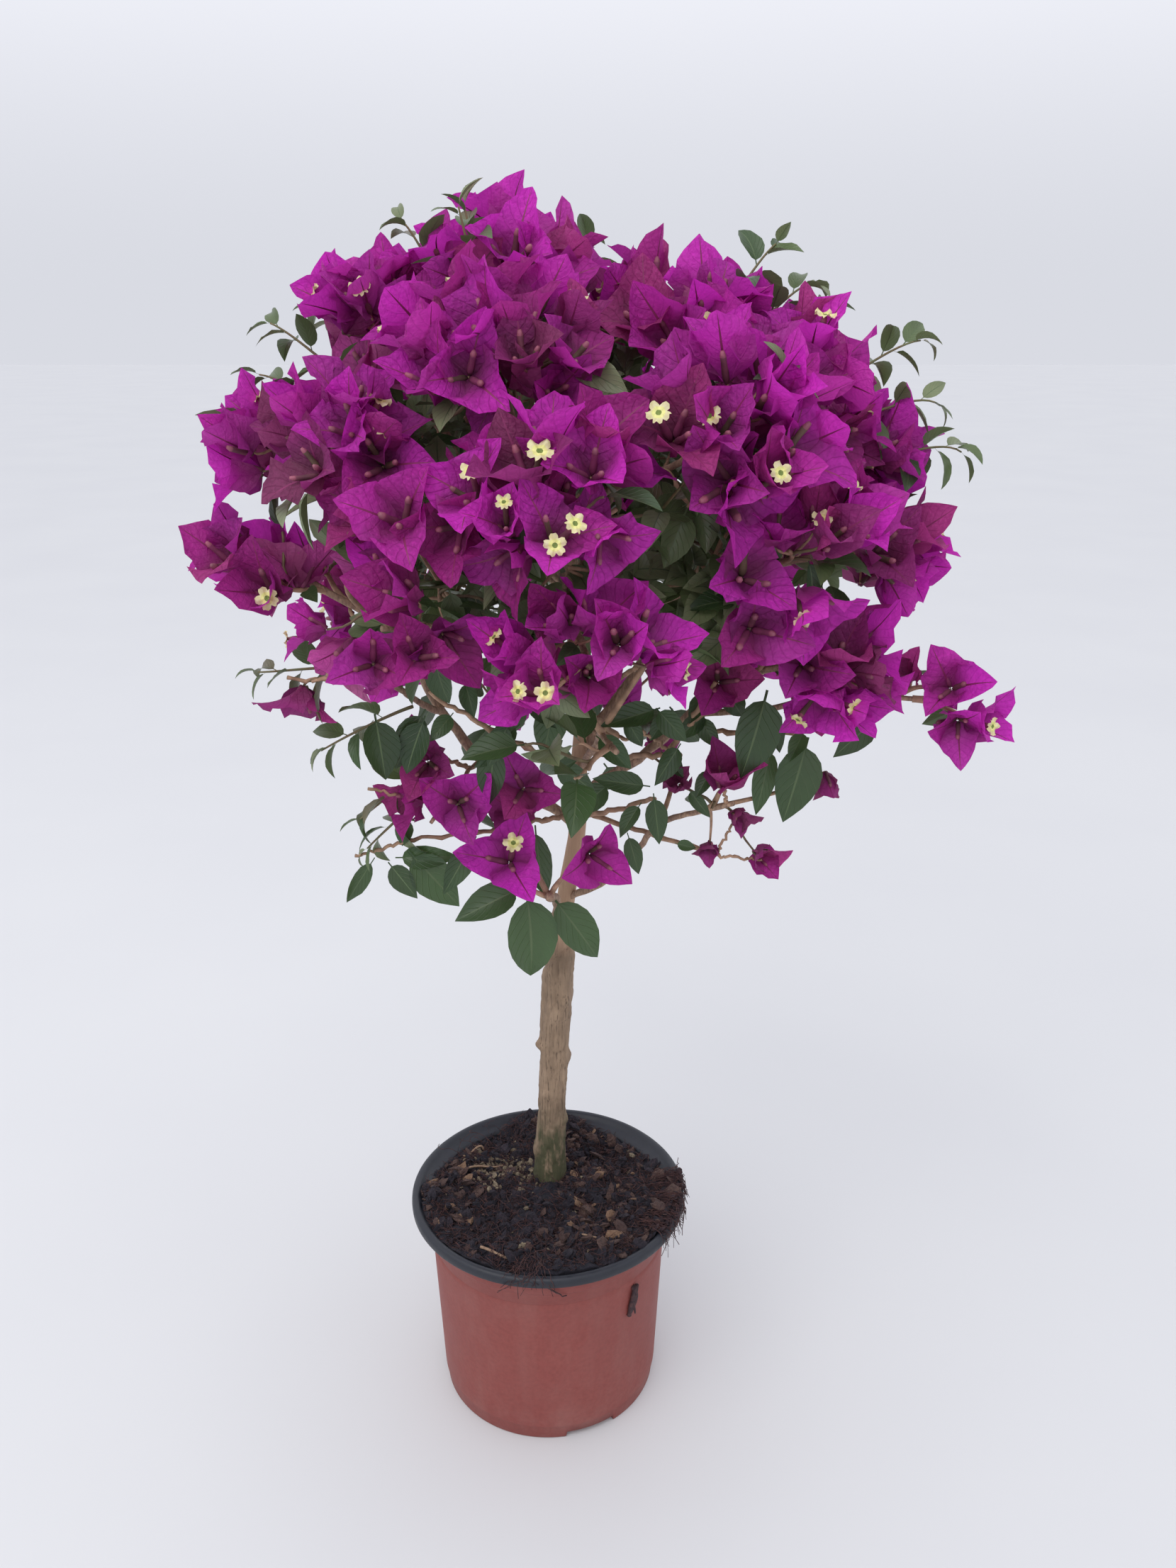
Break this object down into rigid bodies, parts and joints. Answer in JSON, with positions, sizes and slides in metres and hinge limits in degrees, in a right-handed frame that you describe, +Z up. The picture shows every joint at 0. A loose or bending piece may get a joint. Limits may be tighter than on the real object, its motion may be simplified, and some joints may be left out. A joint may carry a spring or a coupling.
{
  "type": "bougainvillea trained as a small standard tree in a nursery pot",
  "caption": "Potted standard tree with a bare trunk, a round crown of magenta bracts and dark leaves, and a round two-tone plastic pot.",
  "frame": {"origin": "middle of the pot's flat underside", "axes": "+Z up the trunk, -Y towards the front of the plant, +X to its right as seen from the front"},
  "size_m": [0.4022, 0.3641, 0.7091],
  "materials": {
    "pot_wall": "matte",
    "pot_rim": "satin",
    "compost": "matte",
    "bark": "matte",
    "twigs": "matte",
    "flowers": "matte",
    "tubes": "matte",
    "petals": "matte",
    "leaves": "satin"
  },
  "bodies": {
    "root": {"pot": "pot_wall", "pot_lip": "pot_rim", "compost": "compost", "trunk": "bark", "bough_back": "bark", "bough_back_top": "bark", "bough_front": "bark", "bough_front_top": "bark", "bough_left": "bark", "bough_low_right": "bark", "bough_right": "bark", "bough_spur": "bark", "bough_top_right": "bark", "bough_upper_left": "bark", "branch_back_left": "bark", "branch_back_left_high": "bark", "branch_back_right": "bark", "branch_back_right_high": "bark", "branch_bottom_left": "bark", "branch_bottom_right": "bark", "branch_front_left": "bark", "branch_front_left_high": "bark", "branch_front_low": "bark", "branch_front_right": "bark", "branch_front_right_high": "bark", "branch_leaf_band": "bark", "branch_left": "bark", "branch_low_left": "bark", "branch_right_low": "bark", "branch_trailing": "bark", "branch_upper_right": "bark", "mass_back": "flowers", "mass_back_left": "flowers", "mass_back_left_high": "flowers", "mass_back_right": "flowers", "mass_back_right_high": "flowers", "mass_back_top": "flowers", "mass_bottom": "flowers", "mass_bottom_left": "flowers", "mass_bottom_right": "flowers", "mass_front": "flowers", "mass_front_left": "flowers", "mass_front_left_high": "flowers", "mass_front_low": "flowers", "mass_front_right": "flowers", "mass_front_right_high": "flowers", "mass_front_top": "flowers", "mass_leaf_band": "flowers", "mass_left": "flowers", "mass_left_low": "flowers", "mass_low_left": "flowers", "mass_low_right": "flowers", "mass_right": "flowers", "mass_right_low": "flowers", "mass_top_left": "flowers", "mass_top_right": "flowers", "mass_trailing": "flowers", "mass_upper_left": "flowers", "mass_upper_right": "flowers"}
  },
  "joints": []
}
